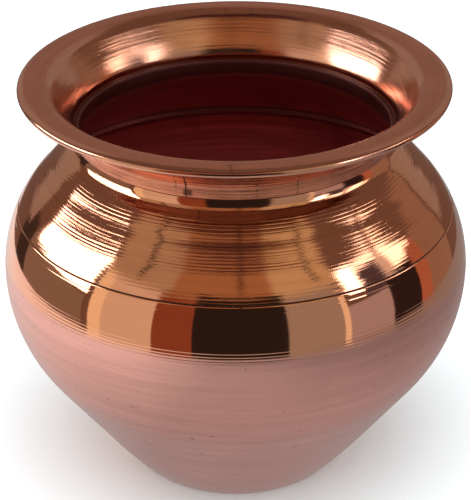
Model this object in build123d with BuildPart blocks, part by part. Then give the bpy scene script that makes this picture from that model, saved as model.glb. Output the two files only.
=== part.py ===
from build123d import *
import os
from math import cos, radians, sin

# Copper kalash pot. Millimetres, +Z up, origin at the middle of the rest ring on the floor.
# Every sheet wall is drawn as a walk of straights and tangent bends along one of its faces.

# Sheet and joints
sheet = 0.8            # wall thickness of every sheet part
film = 0.2             # braze between two lapped walls

# Body
belly_radius = 63.6    # widest outside radius
belly_height = 59.4    # height of the widest line
upper_bend = 37.2      # bend radius above the widest line
shoulder_slope = 48.2  # slope of the straight part of the shoulder, from level
shoulder_flat = 8.4    # length of that straight part
crown_bend = 60.0      # slow bend above it
crown_slope = 42.0     # flattest slope of the shoulder, just outside the neck
fillet_bend = 4.6      # hollow bend that turns the shoulder up into the neck flange
lower_bend = 44.3      # bend radius below the widest line
bowl_slope = 53.9      # slope of the straight tapering part of the bowl
foot_bend = 157.0      # slow bend towards the base
foot_slope = 48.1      # slope just above the base corner
corner_bend = 2.0      # bend of the base corner
rest_width = 4.0       # level width of the rest ring
dish_bend = 14.0       # bends that raise the middle of the base
dish_turn = 22.0       # steepest slope of the dished base

# Belly joint: the shoulder is lapped inside the top edge of the bowl
joint_slope = 61.2     # slope of the wall at the joint
joint_gap = 0.4        # degrees of bend left open for the braze
groove_depth = 0.25    # how far the braze stands back from the outside
lap_above = 3.2        # degrees of doubled wall above the joint
lap_below = 4.6        # degrees of lap below the joint

# Neck and mouth
flange_top = 100.7     # top edge of the neck flange, seen inside as a ridge
collar_foot = 98.7     # lower edge of the collar outside
collar_sleeve = 2.4    # upright part of the collar that sleeves the flange
neck_bend = 5.0        # bend from the sleeve into the neck wall
neck_slope = 64.0      # slope of the neck wall
funnel_bend = 30.0     # slow bend that opens the neck into the funnel
funnel_slope = 54.0    # slope of the funnel
throat_bend = 5.5      # tight bend from the funnel out to the level brim
droop_bend = 6.0       # bend that turns the edge of the brim down
droop_turn = 21.0      # how far the edge turns down, degrees
mouth_radius = 57.5    # outside radius of the rolled edge
roll_radius = 1.0      # radius of the rolled edge
total_height = 113.3   # top of the level brim

# Neck joint braze
sleeve_braze = 2.0     # height of the braze film behind the collar sleeve
toe_width = 0.3        # how far the toe of the braze reaches out under the collar foot
toe_turn = 6.0         # how far it runs down the hollow bend, degrees

# Collar seam
seam_width = 0.4       # width of the brazed seam
seam_angle = 253.6     # where it stands, degrees about Z from +X
seam_block = 20.0      # height of the block that cuts the seam out of the collar
seam_middle = 106.0    # height of the middle of that block


def step(point, heading, length):
    """The point reached after a straight length."""
    return (
        point[0] + length * cos(radians(heading)),
        point[1] + length * sin(radians(heading)),
    )


def walk(point, heading, moves):
    """Stations (point, heading, kind) of a run of bends and straights that stay tangent.

    A move is (radius, turn in degrees) for a bend, left turns positive, or (length, None).
    """
    stations = [(point, heading, "start")]
    for size, turn in moves:
        if turn is None:
            point = step(point, heading, size)
            stations.append((point, heading, "straight"))
            continue
        side = 90 if turn > 0 else -90
        centre = step(point, heading + side, size)
        for part in (turn / 2, turn):
            there = step(centre, heading + part - side, size)
            stations.append((there, heading + part, "middle" if part != turn else "bend"))
        point, heading = there, heading + turn
    return stations


def offset(station, depth):
    """A station moved square to the wall, to the right of the walk, which is inward."""
    return step(station[0], station[1] - 90, depth)


def face_lines(stations, depth):
    """Draws the wall face at a depth below the outside."""
    previous = offset(stations[0], depth)
    middle = None
    for station in stations[1:]:
        here = offset(station, depth)
        if station[2] == "middle":
            middle = here
        elif station[2] == "bend":
            ThreePointArc(previous, middle, here)
            previous = here
        else:
            Line(previous, here)
            previous = here


def wall(stations, near, far):
    """Closed section between two depths of the same walk."""
    face_lines(stations, near)
    face_lines(stations, far)
    Line(offset(stations[0], near), offset(stations[0], far))
    Line(offset(stations[-1], near), offset(stations[-1], far))


# The body is measured both ways from the joint, which lies on the bend above the widest line.
belly_centre = (belly_radius - upper_bend, belly_height)


def on_upper_bend(slope):
    """Outside point of the upper belly bend where the wall has this slope."""
    return step(belly_centre, 90 - slope, upper_bend)


# Shoulder, walked up from the joint, so its inward side is to the left and its depths are negative
shoulder_walk = walk(
    on_upper_bend(joint_slope),
    180 - joint_slope,
    [
        (upper_bend, joint_slope - shoulder_slope),
        (shoulder_flat, None),
        (crown_bend, shoulder_slope - crown_slope),
        (fillet_bend, crown_slope - 90),
    ],
)
flange_radius, flange_foot = shoulder_walk[-1][0]
shoulder_walk += walk((flange_radius, flange_foot), 90, [(flange_top - flange_foot, None)])[1:]

# Bowl, walked down from the joint; its straight part is as long as it takes to reach the floor
bowl_start = joint_slope + joint_gap
below_flat = [(foot_bend, foot_slope - bowl_slope), (corner_bend, -foot_slope)]
bowl_bends = [(upper_bend, bowl_start - 90), (lower_bend, bowl_slope - 90)]
floor_miss = walk(on_upper_bend(bowl_start), -bowl_start, bowl_bends + below_flat)[-1][0][1]
bowl_flat = floor_miss / sin(radians(bowl_slope))
bowl_walk = walk(
    on_upper_bend(bowl_start),
    -bowl_start,
    bowl_bends
    + [(bowl_flat, None)]
    + below_flat
    + [(rest_width, None), (dish_bend, -dish_turn), (dish_bend, dish_turn)],
)
bowl_walk += walk(bowl_walk[-1][0], 180, [(bowl_walk[-1][0][0], None)])[1:]

# Collar, walked up its inside face, so its outward side is to the right
collar_inner = flange_radius + film
funnel_start = [
    (collar_sleeve, None),
    (neck_bend, neck_slope - 90),
    (funnel_bend, funnel_slope - neck_slope),
]
funnel_foot = walk((collar_inner, collar_foot), 90, funnel_start)[-1][0]
throat_rise = throat_bend * (1 - cos(radians(funnel_slope)))
funnel_length = (total_height - throat_rise - funnel_foot[1]) / sin(radians(funnel_slope))
throat_moves = [(funnel_length, None), (throat_bend, -funnel_slope)]
brim_start = walk(funnel_foot, funnel_slope, throat_moves)[-1][0]
# The turned-down edge ends where the rolled edge reaches just as far as the mouth radius
edge_radius = mouth_radius - roll_radius * (1 - sin(radians(droop_turn)))
brim_flat = edge_radius - droop_bend * sin(radians(droop_turn)) - brim_start[0]
brim_moves = [(brim_flat, None), (droop_bend, -droop_turn)]
collar_walk = walk((collar_inner, collar_foot), 90, funnel_start + throat_moves + brim_moves)
roll_centre = offset(collar_walk[-1], roll_radius)

# Shoulder shell
lap_depth = sheet + film
with BuildPart() as shoulder_shell:
    with BuildSketch(Plane.XZ):
        with BuildLine():
            wall(shoulder_walk, 0, -sheet)
        make_face()
        lap_start = joint_slope - lap_above
        doubled = walk(on_upper_bend(lap_start), -lap_start, [(upper_bend, -lap_above)])
        with BuildLine():
            wall(doubled, sheet, lap_depth + sheet)
        make_face()
        lapped = walk(
            on_upper_bend(joint_slope), -joint_slope, [(upper_bend, -joint_gap - lap_below)]
        )
        with BuildLine():
            wall(lapped, lap_depth, lap_depth + sheet)
        make_face()
    revolve(axis=Axis.Z)
shoulder_shell.part.label = "shoulder_shell"

# Bowl shell, closed at the middle of the base
with BuildPart() as bowl_shell:
    with BuildSketch(Plane.XZ):
        with BuildLine():
            wall(bowl_walk, 0, sheet)
        make_face()
    revolve(axis=Axis.Z)
bowl_shell.part.label = "bowl_shell"

# Belly joint braze: the ring in the groove and the film down the lap
with BuildPart() as belly_joint_braze:
    with BuildSketch(Plane.XZ):
        gap = walk(on_upper_bend(joint_slope), -joint_slope, [(upper_bend, -joint_gap)])
        with BuildLine():
            wall(gap, groove_depth, lap_depth)
        make_face()
        lap_film = walk(on_upper_bend(bowl_start), -bowl_start, [(upper_bend, -lap_below)])
        with BuildLine():
            wall(lap_film, sheet, lap_depth)
        make_face()
    revolve(axis=Axis.Z)
belly_joint_braze.part.label = "belly_joint_braze"

# Neck joint braze: the film round the flange and the toe under the collar foot
fillet_centre = (flange_radius + fillet_bend, flange_foot)
film_top = collar_foot + sleeve_braze
toe_low = step(fillet_centre, 180 + toe_turn, fillet_bend)
toe_middle = step(fillet_centre, 180 + toe_turn / 2, fillet_bend)
toe_high = (collar_inner + toe_width, collar_foot)
with BuildPart() as neck_joint_braze:
    with BuildSketch(Plane.XZ):
        with BuildLine():
            Line((flange_radius, film_top), (flange_radius, flange_foot))
            ThreePointArc((flange_radius, flange_foot), toe_middle, toe_low)
            Line(toe_low, toe_high)
            Line(toe_high, (collar_inner, collar_foot))
            Line((collar_inner, collar_foot), (collar_inner, film_top))
            Line((collar_inner, film_top), (flange_radius, film_top))
        make_face()
    revolve(axis=Axis.Z)
neck_joint_braze.part.label = "neck_joint_braze"

# Section of the whole collar: the wall and the rolled edge
with BuildSketch(Plane.XZ) as collar_section:
    with BuildLine():
        wall(collar_walk, 0, sheet)
    make_face()
    with Locations(roll_centre):
        Circle(roll_radius)

# A thin upright block standing where the seam is
seam_across = (collar_inner + mouth_radius) / 2
seam_place = Rotation(0, 0, seam_angle) * Location((seam_across, 0, seam_middle))
seam_size = (mouth_radius, seam_width, seam_block)

# Mouth collar, open at the seam
with BuildPart() as mouth_collar:
    add(collar_section.sketch)
    revolve(axis=Axis.Z)
    with Locations(seam_place):
        Box(*seam_size, mode=Mode.SUBTRACT)
mouth_collar.part.label = "mouth_collar"

# Collar seam braze, which fills that opening
with BuildPart() as collar_seam_braze:
    add(collar_section.sketch)
    revolve(axis=Axis.Z)
    with Locations(seam_place):
        Box(*seam_size, mode=Mode.INTERSECT)
collar_seam_braze.part.label = "collar_seam_braze"

os.makedirs("parts", exist_ok=True)
export_step(mouth_collar.part, "parts/mouth_collar.step")
export_step(collar_seam_braze.part, "parts/collar_seam_braze.step")
export_step(neck_joint_braze.part, "parts/neck_joint_braze.step")
export_step(shoulder_shell.part, "parts/shoulder_shell.step")
export_step(belly_joint_braze.part, "parts/belly_joint_braze.step")
export_step(bowl_shell.part, "parts/bowl_shell.step")
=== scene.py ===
"""Copper kalash pot: turned copper shells, brazed joints, and a pale studio to show them in."""

from math import acos, ceil, cos, hypot, pi, radians, sin, tan

import bmesh
import bpy
from mathutils import Matrix, Vector


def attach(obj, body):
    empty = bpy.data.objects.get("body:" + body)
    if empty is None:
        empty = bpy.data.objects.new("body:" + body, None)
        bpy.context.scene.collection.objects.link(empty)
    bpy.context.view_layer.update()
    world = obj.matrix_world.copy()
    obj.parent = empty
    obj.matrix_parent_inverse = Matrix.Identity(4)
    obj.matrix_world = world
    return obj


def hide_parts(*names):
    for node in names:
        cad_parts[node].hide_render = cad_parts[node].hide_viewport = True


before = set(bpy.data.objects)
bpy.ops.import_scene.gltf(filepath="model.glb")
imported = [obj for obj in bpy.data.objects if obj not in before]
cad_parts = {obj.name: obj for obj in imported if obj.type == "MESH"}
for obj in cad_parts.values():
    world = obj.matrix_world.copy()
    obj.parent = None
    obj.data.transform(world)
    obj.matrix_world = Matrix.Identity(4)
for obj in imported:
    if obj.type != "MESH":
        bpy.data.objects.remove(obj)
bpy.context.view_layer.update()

bl_info = {
    "name": "Copper kalash pot",
    "version": (1, 0, 0),
    "blender": (4, 5, 0),
    "location": "3D View > Sidebar > Kalash",
    "description": "Turned copper pot with a flared mouth, a brazed collar and a lapped belly joint",
    "category": "Add Mesh",
}

MM = 0.001
QUARTER = pi / 2
EDGE_ROWS = 9
WELD_GAP = 0.002 * MM


# Properties


def length(name, millimetres, description):
    """A length property whose default is given in millimetres."""
    return bpy.props.FloatProperty(
        name=name, description=description, default=millimetres * MM, min=0, precision=5, unit="LENGTH"
    )


def angle(name, degrees, description):
    """An angle property whose default is given in degrees."""
    return bpy.props.FloatProperty(
        name=name, description=description, default=radians(degrees), subtype="ANGLE"
    )


def colour(name, default, description):
    """A linear colour property."""
    return bpy.props.FloatVectorProperty(
        name=name, description=description, default=default, size=3, min=0, max=1, subtype="COLOR"
    )


def factor(name, default, description, highest):
    """A plain number property."""
    return bpy.props.FloatProperty(
        name=name, description=description, default=default, min=0, max=highest
    )


class KalashBody(bpy.types.PropertyGroup):
    """Sizes of the shoulder, the bowl and the joint between them."""

    sheet: length("Sheet", 0.8, "Wall thickness of the copper sheet")
    film: length("Braze film", 0.2, "Braze between two lapped walls")
    belly_radius: length("Belly radius", 63.6, "Widest outside radius")
    belly_height: length("Belly height", 59.4, "Height of the widest line")
    upper_bend: length("Upper bend", 37.2, "Bend radius above the widest line")
    shoulder_slope: angle("Shoulder slope", 48.2, "Slope of the straight part of the shoulder")
    shoulder_flat: length("Shoulder flat", 8.4, "Length of that straight part")
    crown_bend: length("Crown bend", 60.0, "Slow bend above the straight part")
    crown_slope: angle("Crown slope", 42.0, "Flattest slope of the shoulder")
    fillet_bend: length("Fillet bend", 4.6, "Hollow bend that turns up into the neck flange")
    flange_top: length("Flange top", 100.7, "Height of the top edge of the neck flange")
    lower_bend: length("Lower bend", 44.3, "Bend radius below the widest line")
    bowl_slope: angle("Bowl slope", 53.9, "Slope of the tapering part of the bowl")
    foot_bend: length("Foot bend", 157.0, "Slow bend towards the base")
    foot_slope: angle("Foot slope", 48.1, "Slope just above the base corner")
    corner_bend: length("Corner bend", 2.0, "Bend of the base corner")
    rest_width: length("Rest width", 4.0, "Level width of the rest ring")
    dish_bend: length("Dish bend", 14.0, "Bends that raise the middle of the base")
    dish_turn: angle("Dish turn", 22.0, "Steepest slope of the dished base")
    joint_slope: angle("Joint slope", 61.2, "Slope of the wall at the belly joint")
    joint_gap: angle("Joint gap", 0.4, "Bend left open at the joint for the braze")
    groove_depth: length("Groove depth", 0.25, "How far the braze stands back from the outside")
    lap_above: angle("Lap above", 3.2, "Doubled wall above the joint")
    lap_below: angle("Lap below", 4.6, "Lap below the joint")


class KalashMouth(bpy.types.PropertyGroup):
    """Sizes of the collar, its seam and the neck joint."""

    collar_foot: length("Collar foot", 98.7, "Height of the lower edge of the collar")
    collar_sleeve: length("Collar sleeve", 2.4, "Upright part that sleeves the flange")
    neck_bend: length("Neck bend", 5.0, "Bend from the sleeve into the neck wall")
    neck_slope: angle("Neck slope", 64.0, "Slope of the neck wall")
    funnel_bend: length("Funnel bend", 30.0, "Slow bend that opens the neck into the funnel")
    funnel_slope: angle("Funnel slope", 54.0, "Slope of the funnel")
    throat_bend: length("Throat bend", 5.5, "Tight bend from the funnel out to the brim")
    droop_bend: length("Droop bend", 6.0, "Bend that turns the edge of the brim down")
    droop_turn: angle("Droop turn", 21.0, "How far the edge turns down")
    mouth_radius: length("Mouth radius", 57.5, "Outside radius of the rolled edge")
    roll_radius: length("Roll radius", 1.0, "Radius of the rolled edge")
    total_height: length("Total height", 113.3, "Height of the top of the level brim")
    seam_width: length("Seam width", 0.4, "Width of the brazed seam")
    seam_angle: angle("Seam angle", 253.6, "Where the seam stands, about Z from +X")
    sleeve_braze: length("Sleeve braze", 2.0, "Height of the braze behind the sleeve")
    toe_width: length("Toe width", 0.3, "How far the braze reaches out under the collar foot")
    toe_turn: angle("Toe turn", 6.0, "How far it runs down the hollow bend")


class KalashTurning(bpy.types.PropertyGroup):
    """Marks that the lathe and the hammer left."""

    steps: bpy.props.IntProperty(
        name="Steps", description="Steps round the pot", default=288, min=24, max=720
    )
    line_width: length("Line width", 0.34, "Width of a scored line")
    line_depth: length("Line depth", 0.03, "Depth of a scored line")
    widest_row: length("Widest row", 0.9, "Widest spacing of rows on a plain wall")
    finest_row: length("Finest row", 0.07, "Spacing of rows inside a scored line")
    wave_depth: length("Wave depth", 0.05, "Depth of the slow waves that turning leaves")
    wave_size: length("Wave size", 26.0, "Size of those waves")
    seed: bpy.props.IntProperty(name="Seed", description="Seed of the waves", default=7)


class KalashFinish(bpy.types.PropertyGroup):
    """Colours of the copper and the braze."""

    bright_copper: colour("Bright copper", (0.90, 0.43, 0.27), "Mirror-polished copper")
    satin_copper: colour("Satin copper", (0.88, 0.45, 0.37), "Satin copper of the bowl")
    worn_copper: colour("Worn copper", (0.80, 0.40, 0.28), "Worn copper of the mouth")
    neck_copper: colour("Neck copper", (0.74, 0.28, 0.165), "Dull copper outside the neck")
    raw_copper: colour("Raw copper", (0.50, 0.105, 0.095), "Unpolished copper inside")
    dark_braze: colour("Dark braze", (0.06, 0.028, 0.02), "Oxidised braze in the joints")


class KalashStage(bpy.types.PropertyGroup):
    """Table, lights and camera."""

    table_colour: colour("Table colour", (0.82, 0.87, 0.88), "Plain pale table top")
    table_radius: length("Table radius", 3000, "Radius of the table top")
    mirrored_colour: colour("Mirrored colour", (0.49, 0.475, 0.475), "Table glow that copper mirrors")
    mirrored_radius: length("Mirrored radius", 290, "Radius of the mirrored table")
    left_glow: factor("Left glow", 2.1, "Mirrored glow on the left, as a share of the middle", 4)
    right_glow: factor("Right glow", 0.6, "Mirrored glow on the right, as a share of the middle", 4)
    room_colour: colour("Room colour", (0.17, 0.11, 0.085), "Plain dim surroundings")
    daylight: factor("Daylight", 7.6, "Strength of the soft light from above", 20)
    light_lean: angle("Light lean", 32, "How far the soft light leans towards the camera")
    light_width: angle("Light width", 125, "How wide the soft light looks from the table")
    camera_distance: length("Camera distance", 465.76, "Level distance of the camera")
    camera_height: length("Camera height", 311.62, "Height of the camera above the table")
    camera_pitch: angle("Camera pitch", 28.262, "How far the camera looks down")
    camera_roll: angle("Camera roll", -0.33, "How far the camera leans")
    camera_lens: bpy.props.FloatProperty(
        name="Camera lens", description="Focal length", default=137.28, unit="CAMERA"
    )


# Outlines, drawn as (distance from the axis, height)


def step(point, heading, size):
    """The point reached after a straight length."""
    return (point[0] + size * cos(heading), point[1] + size * sin(heading))


def walk(point, heading, moves, grain=0.05 * MM):
    """Close stations (point, heading) along a run of bends and straights that stay tangent.

    A move is (radius, turn) for a bend, left turns positive, or (length, None).
    """
    stations = [(point, heading)]
    for size, turn in moves:
        if turn is None:
            count = max(1, ceil(size / grain))
            start = point
            for part in range(1, count + 1):
                point = step(start, heading, size * part / count)
                stations.append((point, heading))
            continue
        side = QUARTER if turn > 0 else -QUARTER
        centre = step(point, heading + side, size)
        count = max(1, ceil(size * abs(turn) / grain))
        for part in range(1, count + 1):
            leaning = heading + turn * part / count
            point = step(centre, leaning - side, size)
            stations.append((point, leaning))
        heading += turn
    return stations


def face(stations, depth, lines=(), inward=1):
    """The wall face at a depth to the right of the walk, with scored lines cut into it.

    A line is (height, width, depth), and inward is -1 where the metal lies to the left.
    """
    points = []
    for (radius, height), heading in stations:
        cut = 0
        for line_height, width, line_depth in lines:
            across = abs(height - line_height) / (width / 2)
            if across < 1:
                cut += line_depth * (1 - across * across) ** 2
        points.append(step((radius, height), heading - QUARTER, depth + inward * cut))
    return points


def spaced(points, widest, finest=None, lines=()):
    """Fewer points of a close run, near together only at the scored lines."""
    kept = [points[0]]
    finest = finest or widest
    gone = 0
    for before, here in zip(points, points[1:]):
        gone += hypot(here[0] - before[0], here[1] - before[1])
        wanted = widest
        for line_height, width, _ in lines:
            away = max(0, abs(here[1] - line_height) - width / 2)
            wanted = min(wanted, finest + away * 0.35)
        if gone >= wanted:
            kept.append(here)
            gone = 0
    if kept[-1] != points[-1]:
        kept.append(points[-1])
    return kept


def eased(runs, ease):
    """Runs joined end to end into one outline, with every corner between them eased off."""
    outline = []
    for index, run in enumerate(runs):
        points = run
        if index:
            points = trimmed(points, ease)
        if index + 1 < len(runs):
            points = trimmed(points[::-1], ease)[::-1]
        outline += points
    return outline


def trimmed(points, ease):
    """A run with its first length cut back."""
    gone = 0
    for index in range(1, len(points)):
        before, here = points[index - 1], points[index]
        size = hypot(here[0] - before[0], here[1] - before[1])
        if gone + size > ease:
            share = (ease - gone) / size
            return [between(before, here, share)] + points[index:]
        gone += size
    return points[-1:]


def between(first, second, share):
    """A point part of the way from one point to another."""
    return tuple(start + (end - start) * share for start, end in zip(first, second))


def edge_rows(start, end):
    """Even points across the edge of a sheet, from one face to the other."""
    return [between(start, end, part / (EDGE_ROWS - 1)) for part in range(EDGE_ROWS)]


def on_upper_bend(body, slope):
    """Outside point of the upper belly bend where the wall has this slope."""
    centre = (body.belly_radius - body.upper_bend, body.belly_height)
    return step(centre, QUARTER - slope, body.upper_bend)


def down_upper_bend(body, slope, turn):
    """Stations down the outside of the upper belly bend, from where it has this slope."""
    return walk(on_upper_bend(body, slope), -slope, [(body.upper_bend, -turn)])


def shoulder_walk(body):
    """Stations up the outside of the shoulder, from the joint to the top of the flange."""
    moves = [
        (body.upper_bend, body.joint_slope - body.shoulder_slope),
        (body.shoulder_flat, None),
        (body.crown_bend, body.shoulder_slope - body.crown_slope),
        (body.fillet_bend, body.crown_slope - QUARTER),
    ]
    stations = walk(on_upper_bend(body, body.joint_slope), pi - body.joint_slope, moves)
    flange_foot = stations[-1][0]
    stations += walk(flange_foot, QUARTER, [(body.flange_top - flange_foot[1], None)])[1:]
    return stations, flange_foot


def bowl_walk(body):
    """Stations down the outside of the bowl, from the joint to the middle of the base."""
    start = body.joint_slope + body.joint_gap
    bends = [(body.upper_bend, start - QUARTER), (body.lower_bend, body.bowl_slope - QUARTER)]
    below = [(body.foot_bend, body.foot_slope - body.bowl_slope)]
    below += [(body.corner_bend, -body.foot_slope)]
    miss = walk(on_upper_bend(body, start), -start, bends + below)[-1][0][1]
    flat = (miss / sin(body.bowl_slope), None)
    # A left turn raises the middle of the base as the walk heads for the axis
    dish = [(body.rest_width, None), (body.dish_bend, -body.dish_turn)]
    dish += [(body.dish_bend, body.dish_turn)]
    stations = walk(on_upper_bend(body, start), -start, bends + [flat] + below + dish)
    return stations + walk(stations[-1][0], pi, [(stations[-1][0][0], None)])[1:]


def collar_walk(body, mouth):
    """Stations up the inside of the collar and out to the start of the rolled edge."""
    inner_radius = shoulder_walk(body)[1][0] + body.film
    start = [
        (mouth.collar_sleeve, None),
        (mouth.neck_bend, mouth.neck_slope - QUARTER),
        (mouth.funnel_bend, mouth.funnel_slope - mouth.neck_slope),
    ]
    foot = walk((inner_radius, mouth.collar_foot), QUARTER, start)[-1][0]
    throat_rise = mouth.throat_bend * (1 - cos(mouth.funnel_slope))
    funnel = (mouth.total_height - throat_rise - foot[1]) / sin(mouth.funnel_slope)
    throat = [(funnel, None), (mouth.throat_bend, -mouth.funnel_slope)]
    brim_start = walk(foot, mouth.funnel_slope, throat)[-1][0]
    turned_down = sin(mouth.droop_turn)
    edge_radius = mouth.mouth_radius - mouth.roll_radius * (1 - turned_down)
    brim = edge_radius - mouth.droop_bend * turned_down - brim_start[0]
    edge = [(brim, None), (mouth.droop_bend, -mouth.droop_turn)]
    return walk((inner_radius, mouth.collar_foot), QUARTER, start + throat + edge)


# Scored lines: height above the table in millimetres, and shares of the line width and depth
BOWL_LINES = (
    (75.35, 1.0, 0.5),
    (67.4, 1.0, 0.4),
    (66.5, 1.0, 0.4),
    (65.5, 1.2, 0.6),
    (64.6, 1.2, 0.6),
    (63.7, 1.4, 0.9),
    (56.9, 0.8, 1.0),
    (27.8, 0.8, 0.9),
    (27.0, 0.8, 0.9),
)
SHOULDER_LINES = (
    (93.4, 1.0, 0.6),
    (92.7, 1.0, 0.7),
    (92.0, 1.0, 0.8),
    (91.3, 1.0, 0.7),
    (89.8, 11.0, 1.6),
    (85.0, 0.8, 0.3),
    (84.4, 0.8, 0.3),
)
NECK_LINES = (
    (100.4, 1.0, 0.6),
    (101.3, 1.0, 0.6),
    (102.3, 1.2, 0.9),
    (103.2, 1.0, 0.6),
    (104.4, 1.4, 0.9),
    (105.6, 1.0, 0.6),
)


# Upright dotted marks on the neck: angle about Z from +X and width, in degrees
NECK_MARKS = ((250.2, 0.7), (253.6, 1.1), (277.2, 0.7), (291.0, 0.6))
# Blob of braze at the foot of the seam
BLOB_ANGLE = 254.2
BLOB_WIDTH = 4.2
BLOB_HEIGHT = 100.0 * MM
BLOB_RISE = 2.4 * MM

# Where one tone runs into another: heights, but distances from the axis under the brim
POLISHED_EDGE = (63.6 * MM, 65.4 * MM)
# Painted shade: the underside of the brim is made darker from here outwards
PAINTED_SHADE_UNDER_BRIM = (46.5 * MM, 49.5 * MM)
# Painted shade: inside the pot, darker towards the top under the shoulder
INSIDE_SHOULDER_SHADE = (74 * MM, 92 * MM)
# Painted shade: the inside of the flange and its top edge, nearly black, where it meets the collar
INSIDE_FLANGE_SHADE = (95.5 * MM, 97 * MM)
# Painted shade along the edge of the inside lap
LAP_EDGE = 78.2 * MM
LAP_SHADE_WIDTH = 4.4 * MM


def scored(turning, lines):
    """(height, width, depth) of scored lines, in metres."""
    return [
        (height * MM, turning.line_width * wide, turning.line_depth * deep)
        for height, wide, deep in lines
    ]


# Node trees


def add_node(tree, kind, inputs=None, **settings):
    """Adds a node, with its settings, and links or fills its inputs."""
    node = tree.nodes.new(kind)
    for name, value in settings.items():
        setattr(node, name, value)
    for key, value in (inputs or {}).items():
        if isinstance(value, bpy.types.NodeSocket):
            tree.links.new(value, node.inputs[key])
        else:
            node.inputs[key].default_value = value
    return node


def maths(tree, operation, *values):
    """The result of a Math node."""
    return add_node(tree, "ShaderNodeMath", dict(enumerate(values)), operation=operation).outputs[0]


def joined(tree, x, y, z):
    """A vector from its three parts."""
    return add_node(tree, "ShaderNodeCombineXYZ", {0: x, 1: y, 2: z}).outputs[0]


def map_range(tree, value, low, high, to_low, to_high, smooth=False):
    """A value carried from one range to another and kept inside it."""
    kind = "SMOOTHSTEP" if smooth else "LINEAR"
    inputs = {"Value": value, 1: low, 2: high, 3: to_low, 4: to_high}
    node = add_node(tree, "ShaderNodeMapRange", inputs, interpolation_type=kind, clamp=True)
    return node.outputs[0]


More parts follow.
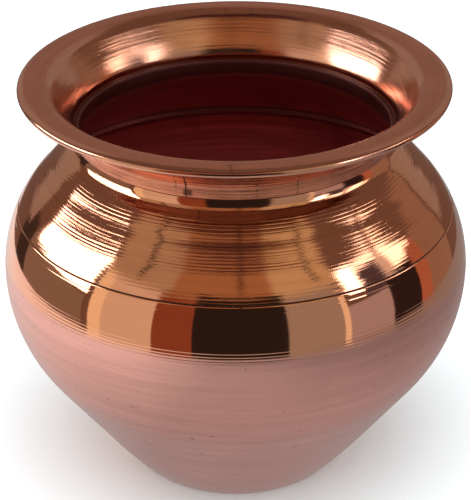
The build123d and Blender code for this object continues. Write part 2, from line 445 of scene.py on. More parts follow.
def turned_wall_tree():
    """Node tree that turns an outline of ordered points about Z into a closed wall."""
    tree = bpy.data.node_groups.new("turned_wall", "GeometryNodeTree")
    tree.is_modifier = True
    inputs = (
        ("Outline", "NodeSocketGeometry", None),
        ("Steps", "NodeSocketInt", 288),
        ("Start", "NodeSocketFloat", 0.0),
        ("Sweep", "NodeSocketFloat", 2 * pi),
        ("Inside Rows", "NodeSocketInt", 0),
        ("Wave Depth", "NodeSocketFloat", 0.0),
        ("Wave Size", "NodeSocketFloat", 0.02),
        ("Seed", "NodeSocketInt", 0),
        ("Sharp Angle", "NodeSocketFloat", radians(50)),
        ("Outside Copper", "NodeSocketMaterial", None),
        ("Inside Copper", "NodeSocketMaterial", None),
    )
    for name, kind, default in inputs:
        socket = tree.interface.new_socket(name=name, in_out="INPUT", socket_type=kind)
        if default is not None:
            socket.default_value = default
    tree.interface.new_socket(name="Wall", in_out="OUTPUT", socket_type="NodeSocketGeometry")
    given = tree.nodes.new("NodeGroupInput").outputs

    # A flat grid with one column for each step and one row for each point of the outline
    rows = add_node(tree, "GeometryNodeAttributeDomainSize", {0: given["Outline"]})
    rows = rows.outputs["Point Count"]
    columns = maths(tree, "ADD", given["Steps"], 1)
    grid = add_node(tree, "GeometryNodeMeshGrid", {"Vertices X": columns, "Vertices Y": rows})
    index = add_node(tree, "GeometryNodeInputIndex").outputs[0]
    row = maths(tree, "MODULO", index, rows)
    column = maths(tree, "FLOOR", maths(tree, "DIVIDE", index, rows))

    # Faces of the first rows belong to the inside
    face_rows = maths(tree, "SUBTRACT", rows, 1)
    inner = maths(tree, "LESS_THAN", maths(tree, "MODULO", index, face_rows), given["Inside Rows"])
    marked = add_node(
        tree,
        "GeometryNodeStoreNamedAttribute",
        {"Geometry": grid.outputs["Mesh"], "Name": "inside", "Value": inner},
        data_type="FLOAT",
        domain="FACE",
    )

    # Each point goes to its row of the outline, turned to its step
    share = maths(tree, "DIVIDE", column, given["Steps"])
    turn = maths(tree, "ADD", given["Start"], maths(tree, "MULTIPLY", given["Sweep"], share))
    position = add_node(tree, "GeometryNodeInputPosition").outputs[0]
    sample = add_node(
        tree,
        "GeometryNodeSampleIndex",
        {"Geometry": given["Outline"], "Index": row},
        data_type="FLOAT_VECTOR",
        domain="POINT",
    )
    tree.links.new(position, sample.inputs["Value"])
    drawn = add_node(tree, "ShaderNodeSeparateXYZ", {0: sample.outputs[0]}).outputs
    along_x = maths(tree, "MULTIPLY", drawn["X"], maths(tree, "COSINE", turn))
    along_y = maths(tree, "MULTIPLY", drawn["X"], maths(tree, "SINE", turn))
    around = joined(tree, along_x, along_y, drawn["Z"])
    placed = {"Geometry": marked.outputs[0], "Position": around}
    placed = add_node(tree, "GeometryNodeSetPosition", placed)
    closed = {"Geometry": placed.outputs[0], "Distance": WELD_GAP}
    closed = add_node(tree, "GeometryNodeMergeByDistance", closed)
    # The grid faces the axis, so its faces are turned outwards
    flipped = add_node(tree, "GeometryNodeFlipFaces", {"Mesh": closed.outputs[0]})

    # Slow waves, cut inwards only
    normal = add_node(tree, "GeometryNodeInputNormal").outputs[0]
    waves = add_node(
        tree,
        "ShaderNodeTexNoise",
        {
            "Vector": position,
            "W": maths(tree, "MULTIPLY", given["Seed"], 7.3),
            "Scale": maths(tree, "DIVIDE", 1.0, given["Wave Size"]),
            "Detail": 1.0,
        },
        noise_dimensions="4D",
    )
    depth = maths(tree, "MULTIPLY", waves.outputs[0], given["Wave Depth"])
    inwards = {0: normal, "Scale": maths(tree, "MULTIPLY", depth, -1.0)}
    inwards = add_node(tree, "ShaderNodeVectorMath", inwards, operation="SCALE")
    waved = {"Geometry": flipped.outputs[0], "Offset": inwards.outputs[0]}
    waved = add_node(tree, "GeometryNodeSetPosition", waved)

    # Smooth walls, with only the true corners left sharp
    smooth = add_node(tree, "GeometryNodeSetShadeSmooth", {"Geometry": waved.outputs[0]})
    bend = add_node(tree, "GeometryNodeInputMeshEdgeAngle").outputs["Unsigned Angle"]
    corner = maths(tree, "GREATER_THAN", bend, given["Sharp Angle"])
    sharp = {"Geometry": smooth.outputs[0], "Selection": corner, "Shade Smooth": False}
    sharp = add_node(tree, "GeometryNodeSetShadeSmooth", sharp, domain="EDGE")
    real = add_node(tree, "GeometryNodeRealizeInstances", {"Geometry": sharp.outputs[0]})
    outside = {"Geometry": real.outputs[0], "Material": given["Outside Copper"]}
    outside = add_node(tree, "GeometryNodeSetMaterial", outside)
    stored = {"Name": "inside"}
    stored = add_node(tree, "GeometryNodeInputNamedAttribute", stored, data_type="FLOAT").outputs[0]
    both = {
        "Geometry": outside.outputs[0],
        "Selection": maths(tree, "GREATER_THAN", stored, 0.5),
        "Material": given["Inside Copper"],
    }
    both = add_node(tree, "GeometryNodeSetMaterial", both)
    add_node(tree, "NodeGroupOutput", {"Wall": both.outputs[0]})
    return tree


def turned_piece(name, outline, values):
    """A plain mesh piece turned from its outline by the node tree, given its input values."""
    tree = bpy.data.node_groups.get("turned_wall") or turned_wall_tree()
    mesh = bpy.data.meshes.new(name + "_outline")
    mesh.from_pydata([(radius, 0, height) for radius, height in outline], [], [])
    drawn = bpy.data.objects.new(name + "_outline", mesh)
    bpy.context.scene.collection.objects.link(drawn)
    modifier = drawn.modifiers.new("turned_wall", "NODES")
    modifier.node_group = tree
    for item in tree.interface.items_tree:
        if item.item_type == "SOCKET" and item.in_out == "INPUT" and item.name in values:
            modifier[item.identifier] = values[item.name]
    graph = bpy.context.evaluated_depsgraph_get()
    turned = bpy.data.meshes.new_from_object(drawn.evaluated_get(graph))
    turned.name = name
    bpy.data.objects.remove(drawn)
    bpy.data.meshes.remove(mesh)
    piece = bpy.data.objects.new(name, turned)
    bpy.context.scene.collection.objects.link(piece)
    return piece


def close_ends(piece, seam_angle):
    """Closes the two flat ends of a wall that doesn't go all the way round."""
    shape = bmesh.new()
    shape.from_mesh(piece.data)
    ends = ([], [])
    for edge in shape.edges:
        if edge.is_boundary:
            middle = (edge.verts[0].co + edge.verts[1].co) / 2
            past_seam = middle.y * cos(seam_angle) - middle.x * sin(seam_angle) > 0
            ends[past_seam].append(edge)
    for open_edges in ends:
        bmesh.ops.triangle_fill(shape, edges=open_edges, use_beauty=True)
        for edge in open_edges:
            edge.smooth = False
    bmesh.ops.recalc_face_normals(shape, faces=shape.faces[:])
    shape.to_mesh(piece.data)
    shape.free()


# Materials


class Finish:
    """A material under construction, with the coordinates that its patterns use."""

    def __init__(self, name, copper):
        self.copper = tuple(copper)
        self.material = bpy.data.materials.get(name) or bpy.data.materials.new(name)
        self.material.use_nodes = True
        self.tree = self.material.node_tree
        self.tree.nodes.clear()
        self.place = add_node(self.tree, "ShaderNodeTexCoord").outputs["Object"]
        parts = add_node(self.tree, "ShaderNodeSeparateXYZ", {0: self.place}).outputs
        self.x, self.y, self.z = parts["X"], parts["Y"], parts["Z"]
        squares = (self.maths("MULTIPLY", part, part) for part in (self.x, self.y))
        self.radius = self.maths("SQRT", self.maths("ADD", *squares))

    def maths(self, operation, *values):
        """The result of a Math node."""
        return maths(self.tree, operation, *values)

    def streaks(self, across, pitch, run, detail=3.0, roughness=0.6):
        """Noise drawn out into lines round the pot, a pitch apart and about a run long."""
        vector = joined(
            self.tree,
            self.maths("MULTIPLY", self.x, 1 / run),
            self.maths("MULTIPLY", self.y, 1 / run),
            self.maths("MULTIPLY", across, 1 / pitch),
        )
        inputs = {"Vector": vector, "Scale": 1.0, "Detail": detail, "Roughness": roughness}
        return add_node(self.tree, "ShaderNodeTexNoise", inputs).outputs[0]

    def rings(self, across, pitch, wander):
        """Even turning lines a pitch apart, each wandering a little in place and depth."""
        drift = self.streaks(across, 2.5 * pitch, 18 * MM, 2.0)
        phase = self.maths("MULTIPLY", across, 2 * pi / pitch)
        phase = self.maths("ADD", phase, self.maths("MULTIPLY", drift, wander))
        line = self.maths("MULTIPLY", self.maths("ADD", self.maths("SINE", phase), 1.0), 0.5)
        return self.maths("MULTIPLY", line, self.ramp(self.streaks(across, pitch, 24 * MM), 0.35, 0.65))

    def near(self, value, middle, width):
        """One at the middle of a range of values, falling to none at its edges."""
        away = self.maths("ABSOLUTE", self.maths("SUBTRACT", value, middle))
        return self.ramp(away, 0.25 * width, 0.5 * width, 1.0, 0.0)

    def clouds(self, size, detail=3.0, distortion=0.0):
        """Soft patches of about a size."""
        inputs = {"Vector": self.place, "Scale": 1 / size, "Detail": detail}
        inputs["Distortion"] = distortion
        return add_node(self.tree, "ShaderNodeTexNoise", inputs).outputs[0]

    def ramp(self, value, low, high, to_low=0.0, to_high=1.0, smooth=False):
        """A value carried from one range to another and kept inside it."""
        return map_range(self.tree, value, low, high, to_low, to_high, smooth)

    def shade(self, share):
        """The copper made lighter or darker by a share."""
        return tuple(min(1, part * share) for part in self.copper)

    def two_tone(self, pattern, low, high, dark, light):
        """The copper in two shades that follow a pattern."""
        return self.mix(self.ramp(pattern, low, high), self.shade(dark), self.shade(light))

    def darker(self, tone, pattern, low, high, most, share):
        """A tone carried most of the way to a dark shade where a pattern is high."""
        return self.mix(self.ramp(pattern, low, high, 0, most), tone, self.shade(share))

    def mix(self, share, first, second):
        """A colour between two colours."""
        node = add_node(self.tree, "ShaderNodeMix", data_type="RGBA")
        for index, value in ((0, share), (6, first), (7, second)):
            self.fill(node.inputs[index], value)
        return node.outputs[2]

    def blend(self, share, first, second):
        """A number between two numbers."""
        inputs = {0: share, 2: first, 3: second}
        return add_node(self.tree, "ShaderNodeMix", inputs, data_type="FLOAT").outputs[0]

    def fill(self, socket, value):
        """Links a pattern to a socket, or sets a number or colour on it."""
        if isinstance(value, bpy.types.NodeSocket):
            self.tree.links.new(value, socket)
        elif isinstance(value, (int, float)):
            socket.default_value = value
        else:
            socket.default_value = (*value, 1)

    def bump(self, height, distance, before=None):
        """Surface relief of a height pattern, a distance deep in metres."""
        inputs = {"Height": height, "Distance": distance, "Strength": 1.0}
        if before is not None:
            inputs["Normal"] = before
        return add_node(self.tree, "ShaderNodeBump", inputs).outputs[0]

    def lathe_lines(self, fine, broad, share, distance):
        """Relief of fine lines with a share of broad ones."""
        broad = self.maths("MULTIPLY", broad, share)
        return self.bump(self.maths("ADD", fine, broad), distance)

    def metal(self, base, roughness, normal, metallic=1.0):
        """Ends the material in a metal shader."""
        inputs = {"Metallic": metallic, "Base Color": base, "Roughness": roughness, "Normal": normal}
        shader = add_node(self.tree, "ShaderNodeBsdfPrincipled", inputs)
        add_node(self.tree, "ShaderNodeOutputMaterial", {0: shader.outputs[0]})
        return self.material


def bowl_copper(finish):
    """Mirror band above a line group, satin copper below it, with fine turning lines."""
    made = Finish("bowl_copper", finish.satin_copper)
    bright = tuple(finish.bright_copper)
    fine = made.streaks(made.z, 0.35 * MM, 30 * MM)
    broad = made.streaks(made.z, 2.6 * MM, 60 * MM, 2.0)
    patches = made.clouds(34 * MM, 4.0, 0.6)
    edge = made.maths("ADD", made.z, made.maths("MULTIPLY", patches, 0.6 * MM))
    polished = made.ramp(edge, *POLISHED_EDGE, smooth=True)
    satin = made.two_tone(broad, 0.3, 0.7, 0.88, 1.08)
    satin = made.darker(satin, patches, 0.35, 0.7, 0.5, 0.86)
    satin = made.darker(satin, made.clouds(2.6 * MM, 2.0), 0.7, 0.76, 0.55, 0.45)
    worked = tuple(0.95 * part for part in bright)
    tone = made.mix(polished, satin, made.mix(made.ramp(fine, 0.35, 0.65), worked, bright))
    satin_rough = made.ramp(broad, 0.3, 0.7, 0.21, 0.28)
    rough = made.blend(polished, satin_rough, made.ramp(patches, 0.3, 0.75, 0.035, 0.08))
    relief = made.maths("MULTIPLY", fine, made.blend(polished, 1.0, 0.22))
    normal = made.bump(relief, 0.016 * MM)
    turned = made.maths("MULTIPLY", made.rings(made.z, 1.7 * MM, 6.0), made.blend(polished, 1.0, 0.1))
    normal = made.bump(turned, 0.016 * MM, normal)
    return made.metal(tone, rough, normal)


def shoulder_copper(finish):
    """Polished copper with close lathe lines."""
    made = Finish("shoulder_copper", finish.bright_copper)
    across = made.maths("SUBTRACT", made.z, made.radius)
    fine = made.streaks(across, 0.55 * MM, 26 * MM, 4.0, 0.7)
    broad = made.streaks(across, 2.2 * MM, 60 * MM, 2.0)
    dulled = made.ramp(made.clouds(30 * MM, 4.0, 0.5), 0.35, 0.75, 0, 0.03)
    tone = made.two_tone(broad, 0.35, 0.65, 0.9, 1.0)
    tone = made.darker(tone, fine, 0.62, 0.8, 0.5, 0.55)
    rough = made.maths("ADD", made.ramp(fine, 0.3, 0.8, 0.03, 0.08), dulled)
    normal = made.lathe_lines(fine, broad, 0.8, 0.012 * MM)
    normal = made.bump(made.rings(across, 1.25 * MM, 5.0), 0.009 * MM, normal)
    return made.metal(tone, rough, normal)


def collar_copper(finish):
    """Worn copper of the funnel and the brim, with a few dark stains."""
    made = Finish("collar_copper", finish.worn_copper)
    across = made.maths("ADD", made.z, made.radius)
    fine = made.streaks(across, 0.5 * MM, 26 * MM, 4.0, 0.7)
    broad = made.streaks(across, 2.4 * MM, 50 * MM, 2.0)
    patches = made.clouds(24 * MM, 4.0, 0.8)
    tone = made.two_tone(broad, 0.3, 0.7, 0.9, 1.06)
    tone = made.darker(tone, patches, 0.45, 0.75, 0.6, 0.72)
    tone = made.darker(tone, made.clouds(5 * MM, 4.0, 1.2), 0.66, 0.76, 0.6, 0.3)
    dulled = made.ramp(patches, 0.35, 0.75, 0, 0.07)
    rough = made.maths("ADD", made.ramp(fine, 0.3, 0.75, 0.1, 0.19), dulled)
    normal = made.lathe_lines(fine, broad, 0.8, 0.024 * MM)
    normal = made.bump(made.rings(across, 1.6 * MM, 6.0), 0.012 * MM, normal)
    return made.metal(tone, rough, normal)


def neck_copper(finish):
    """Dull copper outside the neck and under the brim, with rough turning lines, dark marks and painted
    shade under the brim.
    """
    made = Finish("neck_copper", finish.neck_copper)
    fine = made.streaks(made.z, 0.32 * MM, 12 * MM, 5.0, 0.75)
    broad = made.streaks(made.z, 1.5 * MM, 26 * MM, 3.0)
    tone = made.two_tone(broad, 0.3, 0.7, 0.72, 1.35)
    tone = made.darker(tone, fine, 0.5, 0.75, 0.5, 0.4)
    tone = made.darker(tone, made.clouds(9 * MM, 4.0, 0.6), 0.5, 0.72, 0.5, 0.5)
    # Dotted upright marks left by the seams of the hammered sheet, and a blob at the brazed one
    turn = made.maths("ARCTAN2", made.y, made.x)
    marks = 0.0
    for middle, width in NECK_MARKS:
        mark = made.near(turn, radians(middle - 360), radians(width))
        marks = made.maths("MAXIMUM", marks, mark)
    dots = made.ramp(made.clouds(0.9 * MM, 2.0), 0.46, 0.54, 0, 0.7)
    marks = made.maths("MULTIPLY", marks, dots)
    across_blob = made.near(turn, radians(BLOB_ANGLE - 360), radians(BLOB_WIDTH))
    up_blob = made.near(made.z, BLOB_HEIGHT, BLOB_RISE)
    blob = made.maths("MULTIPLY", across_blob, up_blob)
    marks = made.maths("MAXIMUM", marks, made.maths("MULTIPLY", blob, 0.9))
    tone = made.mix(marks, tone, made.shade(0.16))
    # Painted shade under the brim, darker further from the axis
    tone = made.darker(tone, made.radius, *PAINTED_SHADE_UNDER_BRIM, 0.8, 0.2)
    rough = made.ramp(fine, 0.3, 0.75, 0.2, 0.36)
    normal = made.lathe_lines(fine, broad, 1.6, 0.06 * MM)
    normal = made.bump(made.rings(made.z, 0.95 * MM, 4.0), 0.03 * MM, normal)
    return made.metal(tone, rough, normal)


def raw_copper(finish):
    """Dull maroon copper inside the pot, with spinning rings and stains, and painted shade under the
    shoulder, at the top of the flange and along the edge of the lap.
    """
    made = Finish("raw_copper", finish.raw_copper)
    rings = made.streaks(made.z, 1.6 * MM, 40 * MM, 3.0)
    patches = made.clouds(22 * MM, 5.0, 1.0)
    tone = made.two_tone(rings, 0.3, 0.7, 0.75, 1.2)
    tone = made.darker(tone, patches, 0.5, 0.7, 0.7, 0.5)
    # Painted shade inside, growing towards the top under the shoulder
    tone = made.darker(tone, made.z, *INSIDE_SHOULDER_SHADE, 0.45, 0.3)
    # Painted shade at the top of the flange, hiding the highlight on its edge
    tone = made.darker(tone, made.z, *INSIDE_FLANGE_SHADE, 0.85, 0.08)
    # Painted shade along the step at the edge of the inside lap
    lap = made.maths("MULTIPLY", made.near(made.z, LAP_EDGE, LAP_SHADE_WIDTH), 0.75)
    tone = made.mix(lap, tone, made.shade(0.2))
    rough = made.ramp(patches, 0.3, 0.7, 0.34, 0.5)
    return made.metal(tone, rough, made.bump(rings, 0.05 * MM), 0.6)


def dark_braze(finish):
    """Oxidised braze, dark and grainy."""
    made = Finish("dark_braze", finish.dark_braze)
    grain = made.clouds(0.8 * MM, 4.0)
    tone = made.two_tone(grain, 0.35, 0.7, 0.6, 1.6)
    return made.metal(tone, made.ramp(grain, 0.3, 0.7, 0.4, 0.65), made.bump(grain, 0.02 * MM), 0.8)


def plain(name, tone, light=0.0):
    """A plain matt or glowing material for the stage."""
    material = bpy.data.materials.new(name)
    material.use_nodes = True
    tree = material.node_tree
    tree.nodes.clear()
    inputs = {"Base Color": (*tone, 1), "Roughness": 0.8}
    if light:
        shader = add_node(tree, "ShaderNodeEmission", {0: (*tone, 1), 1: light})
    else:
        shader = add_node(tree, "ShaderNodeBsdfPrincipled", inputs)
    add_node(tree, "ShaderNodeOutputMaterial", {0: shader.outputs[0]})
    return material


# Operators


def wall_values(turning, rows, wave, seed, outside, inside):
    """Input values of the node tree for one wall."""
    return {
        "Steps": turning.steps,
        "Inside Rows": rows,
        "Wave Depth": wave * turning.wave_depth,
        "Wave Size": turning.wave_size,
        "Seed": turning.seed + seed,
        "Outside Copper": outside,
        "Inside Copper": inside,
    }


def finish_piece(piece, node):
    """Puts a piece in place of its CAD node."""
    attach(piece, "root")
    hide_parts(node)
    return {"FINISHED"}


class KALASH_OT_bowl(bpy.types.Operator):
    """Turns the bowl shell, from the belly joint to the base"""

    bl_idname = "kalash.bowl"
    bl_label = "Make the bowl"

    def execute(self, context):
        body, turning = context.scene.kalash_body, context.scene.kalash_turning
        finish = context.scene.kalash_finish
        stations = bowl_walk(body)
        lines = scored(turning, BOWL_LINES)
        outer = spaced(face(stations, 0, lines), turning.widest_row, turning.finest_row, lines)
        inner = spaced(face(stations, body.sheet), 2.2 * turning.widest_row)[::-1]
        edge = edge_rows(inner[-1], outer[0])
        outline = eased([inner, edge, outer], 0.12 * MM)
        outline[0] = (0, outline[0][1])
        outline[-1] = (0, outline[-1][1])
        outside, inside = bowl_copper(finish), raw_copper(finish)
        values = wall_values(turning, len(inner) - 2, 1.0, 0, outside, inside)
        piece = turned_piece("bowl", outline, values)
        return finish_piece(piece, "bowl_shell")


class KALASH_OT_belly_joint(bpy.types.Operator):
    """Makes the braze of the belly joint, in its groove and down the lap"""

    bl_idname = "kalash.belly_joint"
    bl_label = "Make the belly joint braze"

    def execute(self, context):
        scene = context.scene
        body, turning = scene.kalash_body, scene.kalash_turning
        start = body.joint_slope + body.joint_gap
        depth = body.sheet + body.film
        gap = down_upper_bend(body, body.joint_slope, body.joint_gap)
        film = down_upper_bend(body, start, body.lap_below)
        whole = gap + film[1:]
        outline = spaced(face(gap, body.groove_depth), 0.1 * MM)
        outline += spaced(face(film, body.sheet), 0.6 * MM)
        outline += spaced(face(whole, depth), 0.6 * MM)[::-1]
        outline.append(outline[0])
        values = {"Steps": turning.steps, "Outside Copper": dark_braze(scene.kalash_finish)}
        piece = turned_piece("belly_braze", outline, values)
        return finish_piece(piece, "belly_joint_braze")


class KALASH_OT_shoulder(bpy.types.Operator):
    """Turns the shoulder shell, with its neck flange and the lap inside the bowl"""

    bl_idname = "kalash.shoulder"
    bl_label = "Make the shoulder"

    def execute(self, context):
        body, turning = context.scene.kalash_body, context.scene.kalash_turning
        finish = context.scene.kalash_finish
        stations, flange_foot = shoulder_walk(body)
        lines = scored(turning, SHOULDER_LINES)
        outer = face(stations, 0, lines, -1)
        outer = spaced(outer, 0.5 * turning.widest_row, turning.finest_row, lines)
        depth = body.sheet + body.film
        lap_start = body.joint_slope - body.lap_above
        lap_turn = body.lap_above + body.joint_gap + body.lap_below
        doubled = down_upper_bend(body, lap_start, lap_turn)
        lapped = down_upper_bend(body, body.joint_slope, body.joint_gap + body.lap_below)
        lap_top = doubled[0][0][1]
        inner = [there for there in face(stations, -body.sheet) if there[1] > lap_top - 0.4 * MM]
        inner = spaced(inner[::-1], 1.2 * turning.widest_row)
        within = spaced(face(doubled, depth + body.sheet), turning.widest_row)
        beneath = spaced(face(lapped, depth), turning.widest_row)[::-1]
        runs = [
            outer,
            edge_rows(outer[-1], inner[0]),
            inner,
            edge_rows(inner[-1], within[0]),
            within,
            edge_rows(within[-1], beneath[0]),
            beneath,
            edge_rows(beneath[-1], outer[0]),
        ]
        outline = eased(runs, 0.1 * MM)
        outer_rows = len(trimmed(outer[::-1], 0.1 * MM))
        outline = (outline[outer_rows - 1 :] + outline[:outer_rows])[::-1]
        # This outline runs the other way, so its first rows are on the outside
        outside, inside = shoulder_copper(finish), raw_copper(finish)
        values = wall_values(turning, outer_rows, 0.6, 1, inside, outside)
        piece = turned_piece("shoulder", outline, values)
        return finish_piece(piece, "shoulder_shell")


class KALASH_OT_neck_joint(bpy.types.Operator):
    """Makes the braze between the neck flange and the collar"""

    bl_idname = "kalash.neck_joint"
    bl_label = "Make the neck joint braze"

    def execute(self, context):
        scene = context.scene
        body, mouth = scene.kalash_body, scene.kalash_mouth
        flange_foot = shoulder_walk(body)[1]
        centre = (flange_foot[0] + body.fillet_bend, flange_foot[1])
        top = mouth.collar_foot + mouth.sleeve_braze
        outer_radius = flange_foot[0] + body.film
        toe_low = step(centre, pi + mouth.toe_turn, body.fillet_bend)
        outline = [
            (flange_foot[0], top),
            flange_foot,
            step(centre, pi + mouth.toe_turn / 2, body.fillet_bend),
            toe_low,
            (outer_radius + mouth.toe_width, mouth.collar_foot),
            (outer_radius, mouth.collar_foot),
            (outer_radius, top),
            (flange_foot[0], top),
        ]
        values = {
            "Steps": scene.kalash_turning.steps,
            "Outside Copper": dark_braze(scene.kalash_finish),
        }
        piece = turned_piece("neck_braze", outline[::-1], values)
        return finish_piece(piece, "neck_joint_braze")


def collar_outline(body, mouth, turning):
    """Closed outline of the collar and how many of its rows are on the inside and the brim.

    It runs up the inside, round the rolled edge and down the outside.
    """
    stations = collar_walk(body, mouth)
    lines = scored(turning, NECK_LINES)
    inner = spaced(face(stations, 0), 0.5 * turning.widest_row)
    edge, heading = stations[-1]
    # The roll goes round until it meets the underside of the brim again
    roll_turn = acos(1 - body.sheet / mouth.roll_radius) - 2 * pi
    roll = walk(edge, heading, [(mouth.roll_radius, roll_turn)])
    roll = spaced(face(roll, 0), 0.14 * MM)
    centre = step(edge, heading - QUARTER, mouth.roll_radius)
    clear = mouth.roll_radius + 0.02 * MM
    outer = face(stations, body.sheet, lines, -1)
    outer = [there for there in outer if hypot(there[0] - centre[0], there[1] - centre[1]) > clear]
    under = spaced(outer[::-1], 0.5 * turning.widest_row, turning.finest_row, lines)
    foot = edge_rows(under[-1], inner[0])
    outline = eased([inner + roll[1:], under, foot], 0.06 * MM)
    outline.append(outline[0])
    return outline, len(inner) + len(roll) // 3


def collar_piece(scene, name, steps, start, sweep, outside):
    """A part of the collar's ring, with its two upright ends closed."""
    mouth, turning = scene.kalash_mouth, scene.kalash_turning
    outline, inside_rows = collar_outline(scene.kalash_body, mouth, turning)
    inside = collar_copper(scene.kalash_finish)
    values = wall_values(turning, inside_rows, 0.4, 2, outside, inside)
    values.update({"Steps": steps, "Start": start, "Sweep": sweep})
    values["Wave Size"] = 0.7 * turning.wave_size
    piece = turned_piece(name, outline, values)
    close_ends(piece, mouth.seam_angle)
    return piece


class KALASH_OT_collar(bpy.types.Operator):
    """Turns the mouth collar, with its rolled edge, open at the seam"""

    bl_idname = "kalash.collar"
    bl_label = "Make the collar"

    def execute(self, context):
        scene = context.scene
        mouth = scene.kalash_mouth
        seam = mouth.seam_width / mouth.mouth_radius
        start, sweep = mouth.seam_angle + seam / 2, 2 * pi - seam
        copper = neck_copper(scene.kalash_finish)
        piece = collar_piece(scene, "collar", scene.kalash_turning.steps, start, sweep, copper)
        return finish_piece(piece, "mouth_collar")


class KALASH_OT_seam(bpy.types.Operator):
    """Makes the braze that fills the seam of the collar"""

    bl_idname = "kalash.seam"
    bl_label = "Make the collar seam"

    def execute(self, context):
        scene = context.scene
        mouth = scene.kalash_mouth
        seam = mouth.seam_width / mouth.mouth_radius
        start = mouth.seam_angle - seam / 2
        piece = collar_piece(scene, "seam_braze", 2, start, seam, dark_braze(scene.kalash_finish))
        return finish_piece(piece, "collar_seam_braze")


# Panels of light and colour round the pot. Each has two upright ends, given as azimuth from the
# camera side (right positive), lowest elevation and highest elevation, then the colour it glows with.
# Each stands a little nearer than the one before it.
PANELS = (
    ("left_softbox", (-118, 6, 19), (-75, 8, 38), (5, 4.95, 4.85)),
    ("left_low_dark", (-134, -22, 8), (-122, -22, 8), (0.05, 0.035, 0.03)),
    ("left_low_brown", (-122, -22, 6), (-76, -22, 6), (0.25, 0.20, 0.16)),
    ("right_softbox_strip", (57, 18, 36), (66, 16, 37), (5, 4.95, 4.85)),
    ("right_softbox_top", (66, 30, 37), (84, 30, 37), (2.4, 2.304, 2.16)),
    ("right_softbox_shade", (66, 11, 30), (80, 11, 30), (0.09, 0.07, 0.085)),
    ("right_softbox_side", (80, 14, 30), (87, 14, 30), (0.8, 0.74, 0.68)),
    ("right_softbox_warm", (87, 16, 36), (104, 16, 21), (3, 2.79, 2.46)),
    ("right_low_black", (78, -22, 14), (97, -22, 15), (0.03, 0.02, 0.02)),
    ("right_low_red", (97, -22, 20), (106, -22, 20), (0.42, 0.17, 0.10)),
    ("right_low_tan", (106, -22, 22), (128, -22, 22), (0.30, 0.21, 0.15)),
    ("back_panel_right", (130, 0, 50), (163, 0, 50), (0.33, 0.27, 0.23)),
    ("back_panel_middle", (163, 0, 50), (197, 0, 50), (0.28, 0.185, 0.15)),
    ("back_panel_left", (197, 0, 50), (230, 0, 50), (0.34, 0.28, 0.24)),
    ("amber_left", (-75, 30, 53), (-35, 30, 53), (0.43, 0.34, 0.23)),
    ("amber_front", (-35, 30, 53), (20, 30, 53), (0.36, 0.20, 0.10)),
    ("amber_right", (20, 30, 53), (57, 30, 53), (0.56, 0.46, 0.27)),
    ("umber_left", (-75, 53, 58), (-35, 53, 58), (0.17, 0.09, 0.06)),
    ("umber_front", (-35, 53, 58), (20, 53, 58), (0.12, 0.06, 0.042)),
    ("umber_right", (20, 53, 58), (57, 53, 58), (0.2, 0.12, 0.07)),
    ("maroon_left", (-75, 58, 76), (-35, 58, 76), (0.07, 0.03, 0.03)),
    ("maroon_front", (-35, 58, 76), (20, 58, 76), (0.055, 0.022, 0.024)),
    ("maroon_right", (20, 58, 76), (57, 58, 76), (0.07, 0.03, 0.03)),
    ("pale_strip_left", (-72, -22, 30), (-65, -22, 30), (0.95, 0.85, 0.6)),
    ("salmon_left", (-65, -22, 30), (-39, -22, 30), (0.70, 0.62, 0.50)),
    ("red_left", (-39, -22, 30), (-20, -22, 30), (0.25, 0.08, 0.04)),
    ("dark_front", (-20, -22, 33), (24, -22, 33), (0.025, 0.02, 0.018)),
    ("brown_right", (24, -22, 30), (51, -22, 30), (0.36, 0.34, 0.30)),
    ("pale_strip_right", (51, -22, 25), (54, -22, 25), (0.9, 0.8, 0.6)),
    ("lavender_right", (54, -22, 10), (78, -22, 10), (0.42, 0.38, 0.42)),
    ("dark_slat_left", (-57, 36, 56), (-54.8, 36, 56), (0.02, 0.012, 0.01)),
    ("dark_slat_front", (2, 37, 57), (4, 37, 57), (0.03, 0.014, 0.01)),
    ("dark_slat_right", (45, 36, 56), (47.2, 36, 56), (0.03, 0.015, 0.012)),
)
PANEL_DISTANCE = 2.4
PANEL_STEP = 0.003
PANEL_EYE = 0.065
PANEL_COLUMN = 5

# Where the mirrored glow starts and ends: across the table, and out from the pot
GLOW_LEFT = (-0.03, -0.17)
GLOW_RIGHT = (0.03, 0.14)
GLOW_SHADE = (0.035, 0.085)
MIRRORED_LIFT = 0.2 * MM
DISC_SIDES = 128
BACKDROP_SIDES = 96


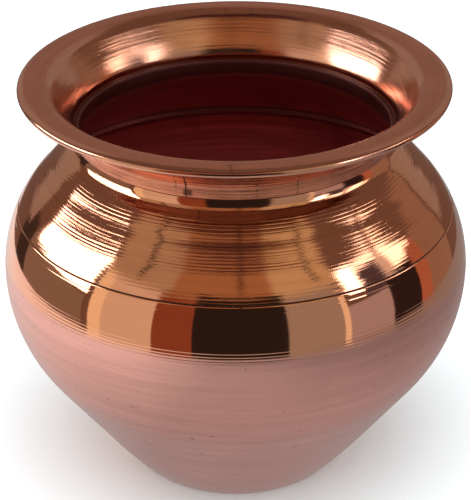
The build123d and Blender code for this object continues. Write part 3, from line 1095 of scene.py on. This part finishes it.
class KALASH_OT_stage(bpy.types.Operator):
    """Makes the table, the soft lights, the coloured panels and the camera"""

    bl_idname = "kalash.stage"
    bl_label = "Make the stage"

    def execute(self, context):
        stage = context.scene.kalash_stage
        self.make_table(stage)
        self.make_backdrop(stage)
        self.make_panels()
        self.make_lights(context, stage)
        self.make_camera(context, stage)
        return {"FINISHED"}

    def add_mesh(self, name, points, faces, material, hidden_from=()):
        """A stage object that some kinds of ray don't see."""
        mesh = bpy.data.meshes.new(name)
        mesh.from_pydata(points, [], faces)
        mesh.materials.append(material)
        made = bpy.data.objects.new(name, mesh)
        bpy.context.scene.collection.objects.link(made)
        for kind in hidden_from:
            setattr(made, "visible_" + kind, False)

    def add_disc(self, name, radius, height, material, hidden_from):
        """A round stage object, flat on the table."""
        ring = [(*spot, height) for spot in self.ring(radius, DISC_SIDES)]
        self.add_mesh(name, ring, [list(range(DISC_SIDES))], material, hidden_from)

    def ring(self, radius, count):
        """Points round a circle about the pot."""
        turns = (2 * pi * part / count for part in range(count))
        return [(radius * cos(turn), radius * sin(turn)) for turn in turns]

    def make_table(self, stage):
        """The white table top, and the greyer glow that copper mirrors in place of it."""
        white = plain("table_white", tuple(stage.table_colour))
        self.add_disc("table_top", stage.table_radius, 0, white, ("glossy",))
        # Painted light and shade in its glow: brighter towards the left softbox, duller to the right,
        # and a painted shadow of the pot close round its foot
        grey = plain("table_grey", tuple(stage.mirrored_colour), light=1.0)
        tree = grey.node_tree
        place = add_node(tree, "ShaderNodeTexCoord").outputs["Object"]
        across = add_node(tree, "ShaderNodeSeparateXYZ", {0: place}).outputs["X"]
        away = add_node(tree, "ShaderNodeVectorMath", {0: place}, operation="LENGTH")
        left = map_range(tree, across, *GLOW_LEFT, 1.0, stage.left_glow)
        right = map_range(tree, across, *GLOW_RIGHT, 1.0, stage.right_glow)
        shaded = map_range(tree, away.outputs["Value"], *GLOW_SHADE, 0.8, 1.0)
        strength = maths(tree, "MULTIPLY", maths(tree, "MULTIPLY", left, right), shaded)
        tree.links.new(strength, tree.nodes["Emission"].inputs["Strength"])
        hidden = ("camera", "diffuse", "shadow")
        self.add_disc("mirrored_table", stage.mirrored_radius, MIRRORED_LIFT, grey, hidden)

    def make_backdrop(self, stage):
        """A plain white wall right round, for the camera only."""
        radius = stage.table_radius
        points = []
        for spot in self.ring(radius, BACKDROP_SIDES):
            points += [(*spot, 0), (*spot, radius)]
        faces = []
        for part in range(BACKDROP_SIDES):
            first, second = 2 * part, 2 * ((part + 1) % BACKDROP_SIDES)
            faces.append([first, second, second + 1, first + 1])
        white = plain("backdrop_white", (1, 1, 1), light=1.1)
        self.add_mesh("backdrop", points, faces, white, ("glossy", "diffuse", "shadow"))

    def make_panels(self):
        """The coloured panels, curved about the pot and seen only in reflections."""
        for index, (name, first, second, glow) in enumerate(PANELS):
            away = PANEL_DISTANCE - index * PANEL_STEP
            columns = max(1, ceil((second[0] - first[0]) / PANEL_COLUMN))
            points = []
            for part in range(columns + 1):
                azimuth, low, high = (radians(end) for end in between(first, second, part / columns))
                for elevation in (low, high):
                    height = PANEL_EYE + away * tan(elevation)
                    points.append((away * sin(azimuth), -away * cos(azimuth), height))
            faces = [[2 * part, 2 * part + 2, 2 * part + 3, 2 * part + 1] for part in range(columns)]
            glowing = plain(name, glow, light=1.0)
            self.add_mesh(name, points, faces, glowing, ("camera", "diffuse"))

    def make_lights(self, context, stage):
        light = bpy.data.lights.new("soft_daylight", "SUN")
        light.angle = stage.light_width
        light.energy = stage.daylight
        lamp = bpy.data.objects.new("soft_daylight", light)
        lamp.rotation_euler = (stage.light_lean, 0, 0)
        lamp.visible_glossy = False
        context.scene.collection.objects.link(lamp)
        world = bpy.data.worlds.new("plain_room")
        context.scene.world = world
        world.cycles_visibility.diffuse = False
        world.use_nodes = True
        shader = world.node_tree.nodes["Background"]
        shader.inputs[0].default_value = (*stage.room_colour, 1)
        shader.inputs[1].default_value = 1.0

    def make_camera(self, context, stage):
        camera = bpy.data.cameras.new("camera")
        camera.sensor_width = 36
        camera.lens = stage.camera_lens
        camera.clip_start = 0.05
        camera.clip_end = 20
        seen = bpy.data.objects.new("camera", camera)
        seen.matrix_world = (
            Matrix.Translation(Vector((0, -stage.camera_distance, stage.camera_height)))
            @ Matrix.Rotation(QUARTER - stage.camera_pitch, 4, "X")
            @ Matrix.Rotation(stage.camera_roll, 4, "Z")
        )
        context.scene.collection.objects.link(seen)
        context.scene.camera = seen
        context.scene.view_settings.view_transform = "Standard"


class KALASH_PT_panel(bpy.types.Panel):
    """Sizes, finishes and the makers of every piece"""

    bl_label = "Copper kalash"
    bl_idname = "KALASH_PT_panel"
    bl_space_type = "VIEW_3D"
    bl_region_type = "UI"
    bl_category = "Kalash"

    def draw(self, context):
        for group in GROUPS:
            settings = getattr(context.scene, group)
            box = self.layout.box()
            for name in settings.bl_rna.properties.keys():
                if name not in ("rna_type", "name"):
                    box.prop(settings, name)
        for operator in OPERATORS:
            self.layout.operator(operator.bl_idname)


GROUPS = {
    "kalash_body": KalashBody,
    "kalash_mouth": KalashMouth,
    "kalash_turning": KalashTurning,
    "kalash_finish": KalashFinish,
    "kalash_stage": KalashStage,
}
OPERATORS = (
    KALASH_OT_bowl,
    KALASH_OT_belly_joint,
    KALASH_OT_shoulder,
    KALASH_OT_neck_joint,
    KALASH_OT_collar,
    KALASH_OT_seam,
    KALASH_OT_stage,
)


def register():
    for group, kind in GROUPS.items():
        bpy.utils.register_class(kind)
        setattr(bpy.types.Scene, group, bpy.props.PointerProperty(type=kind))
    for kind in (*OPERATORS, KALASH_PT_panel):
        bpy.utils.register_class(kind)


def unregister():
    for kind in (KALASH_PT_panel, *reversed(OPERATORS)):
        bpy.utils.unregister_class(kind)
    for group, kind in reversed(GROUPS.items()):
        delattr(bpy.types.Scene, group)
        bpy.utils.unregister_class(kind)


def main():
    register()
    bpy.ops.kalash.bowl()
    bpy.ops.kalash.belly_joint()
    bpy.ops.kalash.shoulder()
    bpy.ops.kalash.neck_joint()
    bpy.ops.kalash.collar()
    bpy.ops.kalash.seam()
    bpy.ops.kalash.stage()


if __name__ == "__main__":
    main()
